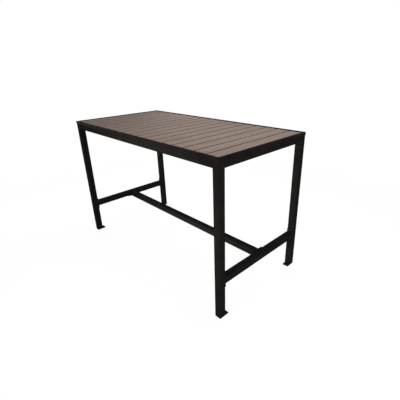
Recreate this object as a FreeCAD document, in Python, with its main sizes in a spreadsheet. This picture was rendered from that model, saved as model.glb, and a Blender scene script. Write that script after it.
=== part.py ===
"""Bar table with a slatted top on a tubular frame, 1016 mm high.

The top is a tray of four mitred edge rails that carries seventeen slats laid across the table.
It sits on four apron rails and four square legs. Low down, two end stretchers and one centre
stretcher form an H. Every rail meets its leg through a bolted end plate, and each leg stands
on a foot plate whose tab takes one floor fixing.

Frame: millimetres, +X along the table, +Y to its back, +Z up. The origin is on the floor,
below the middle of the top.
"""
import FreeCAD, Part
import os
import re

import Sketcher

Vector = FreeCAD.Vector
Rotation = FreeCAD.Rotation
Placement = FreeCAD.Placement

# Driving sizes, in millimetres
DRIVING = {
    # The whole table
    "table_length": 1656,
    "table_width": 813,
    "table_height": 1016,
    # Tray: a hollow lip round the top with a ledge below the slats
    "tray_overhang": 1.5,
    "lip_width": 12.7,
    "lip_wall": 2,
    "ledge_thickness": 3,
    "ledge_reach": 30,
    # Slats, how far they lie below the lip's top, and their room to the lip all round
    "slat_thickness": 16,
    "slat_recess": 3,
    "slat_gap": 7.3,
    "slat_clearance": 8,
    "slat_edge_radius": 1.2,
    # Support bars: channels under the slats, open side down
    "bar_width": 40,
    "bar_depth": 25,
    "bar_wall": 3,
    "bar_offset": 130,
    "bar_end_gap": 0.3,
    # Apron rails and their end plates
    "apron_height": 39,
    "apron_width": 25,
    "apron_wall": 2,
    "apron_plate_thickness": 4,
    "apron_bolt_spread": 10.5,
    # Legs
    "leg_size": 44.5,
    "leg_wall": 2.5,
    "tube_corner_radius": 1.5,
    # Foot plates
    "foot_thickness": 6,
    "foot_tab": 28,
    "foot_corner_radius": 2.5,
    "floor_hole": 9,
    # Stretchers, their height being that of their middle above the floor
    "stretcher_size": 44.5,
    "stretcher_wall": 2.5,
    "stretcher_height": 263,
    # End plates of the stretchers
    "plate_thickness": 5,
    "plate_margin": 25,
    "plate_corner_radius": 2,
    "centre_plate_margin": 27,
    "centre_plate_lip": 4,
    # Corner keys inside the lip
    "key_arm": 40,
    "key_clearance": 0.2,
    # Brackets that hold the tray down on the aprons
    "bracket_length": 40,
    "bracket_leg": 15,
    "bracket_thickness": 3,
    "bracket_hole_reach": 9,
    "bracket_hole_shift": 10,
    "end_bracket_offset": 260,
    # Bolts of the frame: flanged button heads with a hexagon socket
    "bolt_diameter": 6,
    "bolt_length": 16,
    "bolt_head": 3.3,
    "bolt_crown": 8,
    "bolt_rim": 13.6,
    "bolt_rim_height": 1.2,
    "bolt_socket": 4,
    "bolt_socket_depth": 2,
    # Screws up into the slats
    "screw_diameter": 4.2,
    "screw_length": 15,
    "screw_head": 2.6,
    "screw_crown": 5.4,
    "screw_rim": 8,
    "screw_rim_height": 1.1,
    "screw_socket": 2.6,
    "screw_socket_depth": 1.5,
    # Short screws of the tray brackets
    "stub_diameter": 4.8,
    "stub_length": 5.5,
    "stub_head": 2.8,
    "stub_crown": 6,
    "stub_rim": 9,
    "stub_rim_height": 1.2,
    "stub_socket": 3,
    "stub_socket_depth": 1.6,
    # Rivet nuts in the tube walls
    "nut_diameter": 9,
    "nut_length": 14,
    # Chamfer at a thread's tip, room past it, and play round it and round a bolt in a plate
    "thread_chamfer": 0.6,
    "pilot_room": 1,
    "thread_play": 0.2,
    "bolt_play": 0.6,
    # How far a cutter runs past what it cuts
    "overrun": 2,
}

# The row of slats: how many are alike, and the last one's share of their width
ALIKE_SLATS = 16
LAST_SLAT_SHARE = 1.29

# Sizes that follow from the driving ones
DERIVED = {
    "tray_height": "slat_recess + slat_thickness + ledge_thickness",
    "tray_underside": "table_height - tray_height",
    "tray_depth": "lip_width + ledge_reach",
    "slat_underside": "tray_underside + ledge_thickness",
    "slat_length": "table_width - 2 * lip_width - 2 * slat_clearance",
    "slat_span": "table_length - 2 * lip_width - 2 * slat_clearance",
    "slat_width": f"(slat_span - {ALIKE_SLATS} * slat_gap) / {ALIKE_SLATS + LAST_SLAT_SHARE}",
    "last_slat_width": f"{LAST_SLAT_SHARE} * slat_width",
    "pilot_depth": "screw_length - ledge_thickness + pilot_room",
    "leg_length": "tray_underside - foot_thickness",
    "leg_x": "table_length / 2 - tray_overhang - leg_size / 2",
    "leg_y": "table_width / 2 - tray_overhang - leg_size / 2",
    "leg_face_x": "leg_x - leg_size / 2",
    "leg_face_y": "leg_y - leg_size / 2",
    "apron_x": "table_length / 2 - tray_overhang - apron_width / 2",
    "apron_y": "table_width / 2 - tray_overhang - apron_width / 2",
    "apron_z": "tray_underside - apron_height / 2",
    "apron_long": "2 * leg_face_x - 2 * apron_plate_thickness",
    "apron_short": "2 * leg_face_y - 2 * apron_plate_thickness",
    "apron_bolt_inset": "apron_width / 2",
    "bar_length": "table_length - 2 * tray_overhang - 2 * apron_width - 2 * bar_end_gap",
    "bar_web_length": "table_length - 2 * tray_depth - 2 * bar_end_gap",
    "ledge_screw_inset": "(tray_overhang + apron_width + tray_depth) / 2",
    "ledge_screw_x": "table_length / 2 - ledge_screw_inset",
    "ledge_screw_y": "table_width / 2 - ledge_screw_inset",
    "end_screw_y": "leg_face_y - 2 * screw_rim",
    "screw_reach": "leg_face_x - apron_plate_thickness - bolt_rim_height",
    "plate_height": "stretcher_size + 2 * plate_margin",
    "plate_bolt_rise": "stretcher_size / 2 + plate_margin / 2",
    "centre_plate_width": "stretcher_size + 2 * centre_plate_margin",
    "centre_plate_height": "stretcher_size + 2 * centre_plate_lip",
    "centre_bolt_reach": "stretcher_size / 2 + centre_plate_margin / 2",
    "stretcher_face_x": "leg_x - stretcher_size / 2",
    "end_stretcher_length": "2 * leg_face_y - 2 * plate_thickness",
    "centre_stretcher_length": "2 * stretcher_face_x - 2 * plate_thickness",
    "key_inset": "lip_wall + key_clearance",
    "key_inner": "lip_width - lip_wall - key_clearance",
    "key_reach": "key_inset + key_arm",
    "key_height": "tray_height - 2 * lip_wall - key_clearance",
}

# The turn that brings a piece drawn for the front side to each side of the table
SIDE_TURNS = {"front": 0, "right": 90, "back": 180, "left": 270}
# Each corner: the signs of its x and y, and its turn from the front left one
CORNERS = {
    ("front", "left"): (-1, -1, 0),
    ("front", "right"): (1, -1, 90),
    ("back", "right"): (1, 1, 180),
    ("back", "left"): (-1, 1, 270),
}
# Where tray brackets sit along a long side, as shares of the row of slats
BRACKET_SHARES = (0.16, 0.5, 0.84)
# Corners of a hexagon, as shares of its width across the flats
HEXAGON_SHARES = ((0.5, 0.288675), (0, 0.57735), (-0.5, 0.288675),
                  (-0.5, -0.288675), (0, -0.57735), (0.5, -0.288675))

DOC = FreeCAD.newDocument("BarTable")
SHEET = DOC.addObject("Spreadsheet::Sheet", "Sizes")
NODES = []
BOLT_SEATS = []


# Sizes and sums


def fill_sheet():
    """Write every size into the sheet, one row each, with its name as the alias."""
    rows = {name: str(value) for name, value in DRIVING.items()}
    rows.update({name: "=" + formula for name, formula in DERIVED.items()})
    for row, (name, content) in enumerate(rows.items(), start=1):
        SHEET.set(f"A{row}", name)
        SHEET.set(f"B{row}", content)
        SHEET.setAlias(f"B{row}", name)
    DOC.recompute()


def size(name):
    """The value of one named size."""
    return float(SHEET.get(name))


def amount(text):
    """The value of a sum such as "table_height - 2*leg_size"."""
    total = 0.0
    terms = re.findall(r"([+-]?)\s*(?:([\d.]+)\s*\*\s*)?([a-z_]+)", text)
    for sign, factor, name in terms:
        value = float(factor or 1) * size(name)
        total += -value if sign == "-" else value
    return total


def bound(text):
    """The same sum as an expression that reads the sheet."""
    return re.sub(r"[a-z_]+", lambda word: "Sizes." + word.group(), text)


def flipped(text):
    """The same sum with every sign turned round."""
    led = text if text.lstrip()[0] in "+-" else "+ " + text
    return led.translate(str.maketrans("+-", "-+"))


def signed(sign, text):
    """A sum, turned round where the sign is negative."""
    return text if sign > 0 else flipped(text)


def bind(item, **sums):
    """Bind properties of an object to sums of named sizes."""
    for name, text in sums.items():
        item.setExpression(name.replace("__", "."), bound(text))


def place(item, x="0", y="0", z="0", turn=0):
    """Turn an object about the vertical and put its own origin at the named sums."""
    item.Placement = Placement(Vector(), Rotation(Vector(0, 0, 1), turn))
    bind(item, Placement__Base__x=x, Placement__Base__y=y, Placement__Base__z=z)
    DOC.recompute()


def add_node(item, label):
    """Name a finished sub-part and list it for writing."""
    item.Label = label
    NODES.append(item)
    return item


# Drawings and features


class Drawing:
    """A sketch on one of its body's origin planes, with every dimension bound to the sheet."""

    def __init__(self, body, name, plane, offset=None):
        self.sketch = body.newObject("Sketcher::SketchObject", name)
        feature = next(item for item in body.Origin.OriginFeatures if item.Role == plane)
        self.sketch.AttachmentSupport = (feature, [""])
        self.sketch.MapMode = "FlatFace"
        if offset:
            bind(self.sketch, AttachmentOffset__Base__z=offset)

    def dimension(self, kind, text, *ends):
        """One driving dimension, a sum of named sizes."""
        index = self.sketch.addConstraint(Sketcher.Constraint(kind, *ends, amount(text)))
        self.sketch.setExpression(f"Constraints[{index}]", bound(text))

    def locate(self, element, point, x, y):
        """Hold a point of an element at its place from the origin."""
        self.dimension("DistanceX", x, -1, 1, element, point)
        self.dimension("DistanceY", y, -1, 1, element, point)

    def polygon(self, corners):
        """A closed outline through corners that are pairs of sums."""
        first = self.sketch.GeometryCount
        count = len(corners)
        points = [Vector(amount(x), amount(y), 0) for x, y in corners]
        for index, point in enumerate(points):
            self.sketch.addGeometry(Part.LineSegment(point, points[(index + 1) % count]))
        for index, (x, y) in enumerate(corners):
            before = first + (index - 1) % count
            joint = Sketcher.Constraint("Coincident", before, 2, first + index, 1)
            self.sketch.addConstraint(joint)
            self.locate(first + index, 1, x, y)

    def rectangle(self, left, bottom, right, top):
        """A rectangle between two corners."""
        self.polygon([(left, bottom), (right, bottom), (right, top), (left, top)])

    def middle_rectangle(self, half_width, half_height):
        """A rectangle round the origin."""
        self.rectangle(flipped(half_width), flipped(half_height), half_width, half_height)

    def hexagon(self, width):
        """A hexagon round the origin, from its width across the flats."""
        corners = []
        for across, up in HEXAGON_SHARES:
            corners.append((signed(across, f"{abs(across)}*{width}"),
                            signed(up, f"{abs(up)}*{width}")))
        self.polygon(corners)

    def circle(self, x, y, diameter):
        """A circle about a point."""
        middle = Vector(amount(x), amount(y), 0)
        ring = Part.Circle(middle, Vector(0, 0, 1), amount(diameter) / 2)
        index = self.sketch.addGeometry(ring)
        self.locate(index, 3, x, y)
        self.dimension("Diameter", diameter, index)


def pad(body, drawing, length, both_ways=False, reverse=False):
    """Extrude a drawing."""
    feature = body.newObject("PartDesign::Pad", "Pad")
    feature.Profile = drawing.sketch
    feature.Reversed = reverse
    if both_ways:
        feature.SideType = "Symmetric"
    bind(feature, Length=length)
    DOC.recompute()
    return feature


def pocket(body, drawing, length, both_ways=False, reverse=False):
    """Cut a drawing out of its body, and make sure that something was cut."""
    before = body.Shape.Volume
    feature = body.newObject("PartDesign::Pocket", "Pocket")
    feature.Profile = drawing.sketch
    feature.Reversed = reverse
    if both_ways:
        feature.SideType = "Symmetric"
    bind(feature, Length=length)
    DOC.recompute()
    if not body.Shape.Volume < before:
        raise RuntimeError(f"{drawing.sketch.Name} of {body.Name} cuts nothing")
    return feature


def round_edges(body, base, radius, axis, keep=None):
    """Round the sharp straight edges of a feature that run along an axis."""
    names = []
    for index, edge in enumerate(base.Shape.Edges, start=1):
        sharp = len(base.Shape.ancestorsOfType(edge, Part.Face)) == 2
        if sharp and isinstance(edge.Curve, Part.Line) and (keep is None or keep(edge)):
            if edge.tangentAt(edge.FirstParameter).cross(axis).isEqual(Vector(), 1e-6):
                names.append(f"Edge{index}")
    feature = body.newObject("PartDesign::Fillet", "Rounding")
    feature.Base = (base, names)
    bind(feature, Radius=radius)
    DOC.recompute()
    return feature


def on_box(base):
    """A test for edges that lie on two faces of a feature's bounding box, as the outer ones do."""
    box = base.Shape.BoundBox

    def lies_outside(edge):
        middle = edge.CenterOfMass
        touching = 0
        for axis in "XYZ":
            spot = getattr(middle, axis.lower())
            limits = (getattr(box, axis + "Min"), getattr(box, axis + "Max"))
            touching += min(abs(spot - limit) for limit in limits) < 1e-6
        return touching >= 2
    return lies_outside


def square_tube(body, plane, half_width, half_height, wall, length, axis, both_ways):
    """A tube with rounded outer corners, drawn on a plane and extruded from it."""
    section = Drawing(body, "Section", plane)
    section.middle_rectangle(half_width, half_height)
    section.middle_rectangle(f"{half_width} - {wall}", f"{half_height} - {wall}")
    tube = pad(body, section, length, both_ways)
    return round_edges(body, tube, "tube_corner_radius", axis, on_box(tube))


def wall_holes(body, plane, places, diameter, reverse=False):
    """Round holes from a piece's own upright plane out through the wall on one side."""
    drawing = Drawing(body, "WallHoles", plane)
    for across, up in places:
        drawing.circle(across, up, diameter)
    pocket(body, drawing, "leg_size + stretcher_size + apron_width", reverse=reverse)


def through_holes(body, places, length, reverse=False):
    """Round holes up or down from a piece's own level plane, each with its own diameter."""
    drawing = Drawing(body, "ThroughHoles", "XY_Plane")
    for x, y, diameter in places:
        drawing.circle(x, y, diameter)
    pocket(body, drawing, length, reverse=reverse)


# Row of slats, its screws and the tray brackets


def slat_row():
    """Every slat from right to left, as the name of its width and the sum of its middle's x.

    Slats of one width start at the right, and a wider one fills the room at the left end.
    """
    row = []
    for index in range(ALIKE_SLATS):
        middle = f"0.5*slat_span - {index + 0.5}*slat_width - {index}*slat_gap"
        row.append(("slat_width", middle))
    row.append(("last_slat_width", "- 0.5*slat_span + 0.5*last_slat_width"))
    return row


def slat_screws(middle):
    """The four screws of a slat: what each passes through, and the sums of its x and y.

    They stand on the slat's middle line, over the long ledges and the bars. A slat that lies
    over the legs is screwed through the ledge of its end instead.
    """
    if abs(amount(middle)) + size("screw_rim") / 2 < size("screw_reach"):
        return [("front", middle, "- ledge_screw_y"), ("bars", middle, "- bar_offset"),
                ("bars", middle, "bar_offset"), ("back", middle, "ledge_screw_y")]
    side, sign = ("right", 1) if amount(middle) > 0 else ("left", -1)
    line = signed(sign, "ledge_screw_x")
    heights = ("- end_screw_y", "- bar_offset", "bar_offset", "end_screw_y")
    return [(side, line, height) for height in heights]


def along_side(side, x, y):
    """A place on the table as the distance along one side's own X axis."""
    return {"front": x, "right": y, "back": flipped(x), "left": flipped(y)}[side]


def bracket_places(side):
    """Where the tray brackets of a side sit, along its own X axis."""
    if side in ("left", "right"):
        return ["- end_bracket_offset", "end_bracket_offset"]
    gaps = [f"0.5*slat_span - {index}*slat_width - {index - 0.5}*slat_gap"
            for index in range(1, ALIKE_SLATS)]
    places = []
    for share in BRACKET_SHARES:
        wanted = (0.5 - share) * size("slat_span")
        nearest = min(gaps, key=lambda gap: abs(amount(gap) - wanted))
        places.append(along_side(side, nearest, "0"))
    return places


# Legs and their foot plates


def make_legs():
    """Four square legs with holes for rivet nuts.

    A leg is drawn for the front left corner, with the table to its +X and +Y. A quarter turn
    brings the long apron to the other inner face, so there the holes change places.
    """
    apron = "apron_z - foot_thickness"
    rail = "stretcher_height - foot_thickness"
    long_side = [("apron_bolt_inset", f"{apron} + apron_bolt_spread"),
                 ("apron_bolt_inset", f"{apron} - apron_bolt_spread")]
    short_side = [("apron_bolt_inset", apron),
                  ("0", f"{rail} + plate_bolt_rise"),
                  ("0", f"{rail} - plate_bolt_rise")]
    for (end, side), (x_sign, y_sign, turn) in CORNERS.items():
        body = DOC.addObject("PartDesign::Body", "Leg")
        square_tube(body, "XY_Plane", "0.5*leg_size", "0.5*leg_size", "leg_wall",
                    "leg_length", Vector(0, 0, 1), both_ways=False)
        facing_x, facing_y = long_side, short_side
        if turn in (90, 270):
            facing_x, facing_y = short_side, long_side
        wall_holes(body, "YZ_Plane", facing_x, "nut_diameter + thread_play", reverse=True)
        wall_holes(body, "XZ_Plane", facing_y, "nut_diameter + thread_play")
        place(body, signed(x_sign, "leg_x"), signed(y_sign, "leg_y"), "foot_thickness", turn)
        add_node(body, f"leg_{end}_{side}")


def make_foot_plates():
    """Four plates under the legs, each with a drilled tab towards the other leg of its end."""
    for (end, side), (x_sign, y_sign, _) in CORNERS.items():
        body = DOC.addObject("PartDesign::Body", "FootPlate")
        outline = Drawing(body, "Outline", "XY_Plane")
        outline.rectangle("- 0.5*leg_size", "- 0.5*leg_size",
                          "0.5*leg_size", "0.5*leg_size + foot_tab")
        outline.circle("0", "0.5*leg_size + 0.5*foot_tab", "floor_hole")
        plate = pad(body, outline, "foot_thickness")
        round_edges(body, plate, "foot_corner_radius", Vector(0, 0, 1))
        turn = 0 if y_sign < 0 else 180
        place(body, signed(x_sign, "leg_x"), signed(y_sign, "leg_y"), turn=turn)
        add_node(body, f"foot_plate_{end}_{side}")


# Rails


def level_tube(label, width, height, wall, length):
    """A rectangular tube along X, with its own origin in its middle."""
    body = DOC.addObject("PartDesign::Body", "Rail")
    square_tube(body, "YZ_Plane", f"0.5*{width}", f"0.5*{height}", wall, length,
                Vector(1, 0, 0), both_ways=True)
    return add_node(body, label)


def make_stretchers():
    """The low H: an end stretcher between the legs of each end, and one that joins the two."""
    nuts = [("centre_bolt_reach", "0"), ("- centre_bolt_reach", "0")]
    for side, x_sign in (("left", -1), ("right", 1)):
        end = level_tube(f"end_stretcher_{side}", "stretcher_size", "stretcher_size",
                         "stretcher_wall", "end_stretcher_length")
        wall_holes(end, "XZ_Plane", nuts, "nut_diameter + thread_play")
        place(end, x=signed(x_sign, "leg_x"), z="stretcher_height", turn=SIDE_TURNS[side])
    centre = level_tube("centre_stretcher", "stretcher_size", "stretcher_size",
                        "stretcher_wall", "centre_stretcher_length")
    place(centre, z="stretcher_height")


def make_aprons():
    """Four rails under the tray, with holes in their inner walls for the tray brackets."""
    middles = {"front": ("0", "- apron_y"), "right": ("apron_x", "0"),
               "back": ("0", "apron_y"), "left": ("- apron_x", "0")}
    for side, (x, y) in middles.items():
        length = "apron_long" if side in ("front", "back") else "apron_short"
        rail = level_tube(f"apron_{side}", "apron_width", "apron_height", "apron_wall", length)
        places = [(f"{middle} - bracket_hole_shift", "0.5*apron_height - bracket_hole_reach")
                  for middle in bracket_places(side)]
        wall_holes(rail, "XZ_Plane", places, "stub_diameter + thread_play")
        place(rail, x, y, "apron_z", SIDE_TURNS[side])


# End plates and their bolts


def end_plate(label, half_width, half_height, thickness, holes, corner_radius=None):
    """A plate in its own XZ plane that reaches from there to +Y, and the seats of its bolts."""
    body = DOC.addObject("PartDesign::Body", "EndPlate")
    outline = Drawing(body, "Outline", "XZ_Plane")
    outline.middle_rectangle(half_width, half_height)
    for across, up in holes:
        outline.circle(across, up, "bolt_diameter + bolt_play")
    plate = pad(body, outline, thickness, reverse=True)
    if corner_radius:
        round_edges(body, plate, corner_radius, Vector(0, 1, 0))
    BOLT_SEATS.append((body, holes, thickness))
    return add_node(body, label)


def make_stretcher_plates():
    """Plates between the end stretchers and the legs, and at both ends of the centre one."""
    holes = [("0", "plate_bolt_rise"), ("0", "- plate_bolt_rise")]
    for (end, side), (x_sign, y_sign, _) in CORNERS.items():
        plate = end_plate(f"stretcher_plate_{end}_{side}", "0.5*leg_size", "0.5*plate_height",
                          "plate_thickness", holes, "plate_corner_radius")
        place(plate, signed(x_sign, "leg_x"), signed(y_sign, "leg_face_y"),
              "stretcher_height", SIDE_TURNS[end])
    holes = [("centre_bolt_reach", "0"), ("- centre_bolt_reach", "0")]
    for side, x_sign in (("left", -1), ("right", 1)):
        plate = end_plate(f"centre_plate_{side}", "0.5*centre_plate_width",
                          "0.5*centre_plate_height", "plate_thickness", holes,
                          "plate_corner_radius")
        place(plate, x=signed(x_sign, "stretcher_face_x"), z="stretcher_height",
              turn=SIDE_TURNS[side])


def make_apron_plates():
    """Plates at the ends of the aprons, as wide as the leg, with their bolts inside the rail."""
    for (end, side), (x_sign, y_sign, _) in CORNERS.items():
        inward = signed(-x_sign * y_sign, "apron_bolt_inset")
        holes = [(inward, "apron_bolt_spread"), (inward, "- apron_bolt_spread")]
        plate = end_plate(f"apron_plate_{end}_{side}_long", "0.5*leg_size",
                          "0.5*apron_height", "apron_plate_thickness", holes)
        place(plate, signed(x_sign, "leg_face_x"), signed(y_sign, "leg_y"), "apron_z",
              SIDE_TURNS[side])
        holes = [(signed(x_sign * y_sign, "apron_bolt_inset"), "0")]
        plate = end_plate(f"apron_plate_{end}_{side}_short", "0.5*leg_size",
                          "0.5*apron_height", "apron_plate_thickness", holes)
        place(plate, signed(x_sign, "leg_x"), signed(y_sign, "leg_face_y"), "apron_z",
              SIDE_TURNS[end])


# Tray, slats and support bars


def make_edge_rails():
    """Four mitred rails: a hollow lip as high as the tray, with a ledge along its foot."""
    sides = {"front": ("0", "- 0.5*table_width"), "right": ("0.5*table_length", "0"),
             "back": ("0", "0.5*table_width"), "left": ("- 0.5*table_length", "0")}
    screws = [screw for _, middle in slat_row() for screw in slat_screws(middle)]
    for side, (x, y) in sides.items():
        length = "table_length" if side in ("front", "back") else "table_width"
        body = DOC.addObject("PartDesign::Body", "EdgeRail")
        section = Drawing(body, "Section", "YZ_Plane")
        section.polygon([("0", "0"), ("tray_depth", "0"), ("tray_depth", "ledge_thickness"),
                         ("lip_width", "ledge_thickness"), ("lip_width", "tray_height"),
                         ("0", "tray_height")])
        section.rectangle("lip_wall", "lip_wall",
                          "lip_width - lip_wall", "tray_height - lip_wall")
        pad(body, section, length, both_ways=True)
        mitres = Drawing(body, "Mitres", "XY_Plane")
        for sign in (1, -1):
            outer = signed(sign, f"0.5*{length} + overrun")
            inner = signed(sign, f"0.5*{length} - tray_depth - overrun")
            mitres.polygon([(outer, "- overrun"), (outer, "tray_depth + overrun"),
                            (inner, "tray_depth + overrun")])
        pocket(body, mitres, "tray_height + overrun", reverse=True)
        places = [(along_side(side, screw_x, screw_y), "ledge_screw_inset",
                   "screw_diameter + bolt_play")
                  for support, screw_x, screw_y in screws if support == side]
        places += [(f"{middle} + bracket_hole_shift",
                    "tray_overhang + apron_width + bracket_hole_reach",
                    "stub_diameter + thread_play") for middle in bracket_places(side)]
        through_holes(body, places, "ledge_thickness + overrun", reverse=True)
        place(body, x, y, "tray_underside", SIDE_TURNS[side])
        add_node(body, f"edge_rail_{side}")


def make_slats():
    """Boards across the table with eased edges and pilot holes in their undersides."""
    for number, (width, middle) in enumerate(slat_row(), start=1):
        body = DOC.addObject("PartDesign::Body", "Slat")
        outline = Drawing(body, "Outline", "XY_Plane")
        outline.middle_rectangle(f"0.5*{width}", "0.5*slat_length")
        board = pad(body, outline, "slat_thickness")
        round_edges(body, board, "slat_edge_radius", Vector(0, 1, 0))
        pilots = [(f"{screw_x} {flipped(middle)}", screw_y, "screw_diameter + thread_play")
                  for _, screw_x, screw_y in slat_screws(middle)]
        through_holes(body, pilots, "pilot_depth", reverse=True)
        place(body, x=middle, z="slat_underside")
        add_node(body, f"slat_{number:02d}")


def make_support_bars():
    """Two channels below the slats, whose flanges run on under the ledges of the ends."""
    middles = [middle for _, middle in slat_row() if slat_screws(middle)[1][0] == "bars"]
    for side, y in (("front", "- bar_offset"), ("back", "bar_offset")):
        body = DOC.addObject("PartDesign::Body", "SupportBar")
        section = Drawing(body, "Section", "YZ_Plane")
        half = "0.5*bar_width"
        section.polygon([("- " + half, "- bar_depth"), (f"- {half} + bar_wall", "- bar_depth"),
                         (f"- {half} + bar_wall", "- bar_wall"),
                         (f"{half} - bar_wall", "- bar_wall"),
                         (f"{half} - bar_wall", "- bar_depth"), (half, "- bar_depth"),
                         (half, "0"), ("- " + half, "0")])
        pad(body, section, "bar_length", both_ways=True)
        notches = Drawing(body, "Notches", "XZ_Plane")
        notches.rectangle("0.5*bar_web_length", "- ledge_thickness",
                          "0.5*bar_length + overrun", "overrun")
        notches.rectangle("- 0.5*bar_length - overrun", "- ledge_thickness",
                          "- 0.5*bar_web_length", "overrun")
        pocket(body, notches, "bar_width + overrun", both_ways=True)
        through_holes(body, [(middle, "0", "screw_diameter + bolt_play") for middle in middles],
                      "bar_wall + overrun")
        place(body, y=y, z="slat_underside")
        add_node(body, f"support_bar_{side}")


# Small parts, drawn once and set in groups


def fastener(name, kind):
    """A screw or bolt with its head seated at zero and its shank pointing down."""
    body = DOC.addObject("PartDesign::Body", name)
    half = Drawing(body, "HalfSection", "XZ_Plane")
    half.polygon([
        ("0", f"- {kind}_length"),
        (f"0.5*{kind}_diameter - thread_chamfer", f"- {kind}_length"),
        (f"0.5*{kind}_diameter", f"- {kind}_length + thread_chamfer"),
        (f"0.5*{kind}_diameter", "0"),
        (f"0.5*{kind}_rim", "0"),
        (f"0.5*{kind}_rim", f"{kind}_rim_height"),
        (f"0.5*{kind}_crown", f"{kind}_head"),
        ("0", f"{kind}_head"),
    ])
    turned = body.newObject("PartDesign::Revolution", "Turned")
    turned.Profile = half.sketch
    turned.ReferenceAxis = (half.sketch, ["V_Axis"])
    turned.Angle = 360
    DOC.recompute()
    socket = Drawing(body, "Socket", "XY_Plane", offset=f"{kind}_head")
    socket.hexagon(f"{kind}_socket")
    pocket(body, socket, f"{kind}_socket_depth")
    return body


def rivet_nut():
    """A threaded sleeve whose open face lies at zero, with the rest below."""
    body = DOC.addObject("PartDesign::Body", "RivetNut")
    section = Drawing(body, "Section", "XY_Plane")
    section.circle("0", "0", "nut_diameter")
    section.circle("0", "0", "bolt_diameter + thread_play")
    pad(body, section, "nut_length", reverse=True)
    return body


def corner_key():
    """An L for the hollow of two lips that meet at the front left corner."""
    body = DOC.addObject("PartDesign::Body", "CornerKey")
    outline = Drawing(body, "Outline", "XY_Plane")
    outline.polygon([("key_inset", "key_inset"), ("key_reach", "key_inset"),
                     ("key_reach", "key_inner"), ("key_inner", "key_inner"),
                     ("key_inner", "key_reach"), ("key_inset", "key_reach")])
    pad(body, outline, "key_height")
    return body


def tray_bracket():
    """An angle whose corner runs along X: one leg under the tray, one down the apron."""
    body = DOC.addObject("PartDesign::Body", "TrayBracket")
    section = Drawing(body, "Section", "YZ_Plane")
    section.polygon([("0", "0"), ("0", "- bracket_leg"), ("bracket_thickness", "- bracket_leg"),
                     ("bracket_thickness", "- bracket_thickness"),
                     ("bracket_leg", "- bracket_thickness"), ("bracket_leg", "0")])
    pad(body, section, "bracket_length", both_ways=True)
    through_holes(body, [("bracket_hole_shift", "bracket_hole_reach",
                          "stub_diameter + thread_play")], "bracket_thickness + overrun")
    wall_holes(body, "XZ_Plane", [("- bracket_hole_shift", "- bracket_hole_reach")],
               "stub_diameter + thread_play")
    return body


def group(label, master, placements):
    """One node of separate copies of a piece that was drawn once."""
    copies = []
    for placement in placements:
        copy = master.Shape.copy()
        copy.Placement = placement
        copies.append(copy)
    item = DOC.addObject("Part::Feature", "Group")
    item.Shape = Part.makeCompound(copies)
    return add_node(item, label)


def spot(x, y, z, turn=0, tilt=0):
    """A tilt about X at a place given by sums, the whole then turned about the vertical."""
    place_at = Placement(Vector(amount(x), amount(y), amount(z)),
                         Rotation(Vector(1, 0, 0), tilt))
    return Placement(Vector(), Rotation(Vector(0, 0, 1), turn)).multiply(place_at)


def make_small_parts():
    """The groups of bolts, rivet nuts, keys, brackets and screws."""
    bolts = []
    nuts = []
    for plate, holes, thickness in BOLT_SEATS:
        for across, up in holes:
            bolts.append(plate.Placement.multiply(spot(across, thickness, up, tilt=-90)))
            nuts.append(plate.Placement.multiply(spot(across, "0", up, tilt=-90)))
    group("frame_bolts", fastener("Bolt", "bolt"), bolts)
    group("frame_rivet_nuts", rivet_nut(), nuts)

    keys = []
    for x_sign, y_sign, turn in CORNERS.values():
        corner = Vector(amount(signed(x_sign, "0.5*table_length")),
                        amount(signed(y_sign, "0.5*table_width")),
                        amount("tray_underside + lip_wall"))
        keys.append(Placement(corner, Rotation(Vector(0, 0, 1), turn)))
    group("corner_keys", corner_key(), keys)

    brackets = []
    stubs = []
    for side, turn in SIDE_TURNS.items():
        half = "0.5*table_width" if side in ("front", "back") else "0.5*table_length"
        face = f"- {half} + tray_overhang + apron_width"
        for middle in bracket_places(side):
            brackets.append(spot(middle, face, "tray_underside", turn))
            stubs.append(spot(f"{middle} + bracket_hole_shift", f"{face} + bracket_hole_reach",
                              "tray_underside - bracket_thickness", turn, tilt=180))
            stubs.append(spot(f"{middle} - bracket_hole_shift", f"{face} + bracket_thickness",
                              "tray_underside - bracket_hole_reach", turn, tilt=-90))
    group("tray_brackets", tray_bracket(), brackets)
    group("bracket_screws", fastener("BracketScrew", "stub"), stubs)

    screws = []
    for _, middle in slat_row():
        for support, x, y in slat_screws(middle):
            below = "bar_wall" if support == "bars" else "ledge_thickness"
            screws.append(spot(x, y, f"slat_underside - {below}", tilt=180))
    group("slat_screws", fastener("SlatScrew", "screw"), screws)


# Checks and files


def check_and_write():
    """Stop on any object in error, then write one file for each sub-part."""
    DOC.recompute()
    for item in DOC.Objects:
        if {"Invalid", "Error"} & set(item.State):
            raise RuntimeError(f"{item.Name} is in state {item.State}")
    labels = [node.Label for node in NODES]
    if len(set(labels)) != len(labels):
        raise RuntimeError("two sub-parts share a label")
    for node in NODES:
        if node.Shape.isNull() or not node.Shape.isValid() or not node.Shape.Solids:
            raise RuntimeError(f"{node.Label} has no valid solid")
    os.makedirs("parts", exist_ok=True)
    for node in NODES:
        node.Shape.exportStep(f"parts/{node.Label}.step")


fill_sheet()
make_legs()
make_foot_plates()
make_stretchers()
make_stretcher_plates()
make_aprons()
make_apron_plates()
make_edge_rails()
make_slats()
make_support_bars()
make_small_parts()
check_and_write()
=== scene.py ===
"""Looks of a bar table with a slatted top on a low H frame.

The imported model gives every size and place. The boards, the edge rails round them and the weld
beads are built here. Tubes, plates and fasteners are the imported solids, with their finishes.

Frame: metres, +X along the table, +Y to its back, +Z up, the floor at zero.
"""

import logging
import math
from dataclasses import dataclass
from enum import Enum
from typing import Any

import bpy
import numpy as np
from mathutils import Matrix, Vector
from mathutils.geometry import tessellate_polygon


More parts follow.
